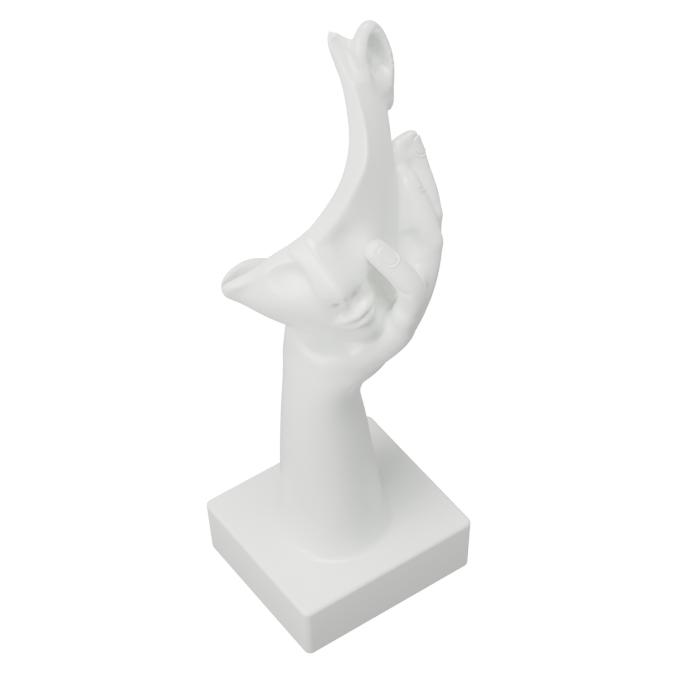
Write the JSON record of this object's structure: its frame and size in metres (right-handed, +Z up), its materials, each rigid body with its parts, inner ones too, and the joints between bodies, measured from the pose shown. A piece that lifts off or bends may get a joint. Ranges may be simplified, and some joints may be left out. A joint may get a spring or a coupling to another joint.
{
  "type": "hand and mask sculpture",
  "caption": "White cast ornament: a forearm rising from a rectangular plinth, its hand holding a hollow fragment of a calm face mask.",
  "frame": {"origin": "middle of the felt on the underside of the plinth, on the surface that the sculpture stands on", "axes": "+Z up, -Y the front long side of the plinth, +X along that side to the right"},
  "size_m": [0.1185, 0.1003, 0.2954],
  "materials": {
    "cast": "satin white",
    "steel": "plain",
    "board": "raw fibreboard",
    "felt": "felt"
  },
  "bodies": {
    "root": {"plinth": "cast", "forearm_and_hand": "cast", "thumb_end": "cast", "face_mask": "cast", "tie_rod": "steel", "tie_rod_washer": "steel", "tie_rod_nut": "steel", "forearm_dowel": "steel", "chin_pin": "steel", "cheek_pin": "steel", "thumb_pin": "steel", "ballast_slab": "steel", "base_cover": "board", "base_felt": "felt"}
  },
  "joints": []
}
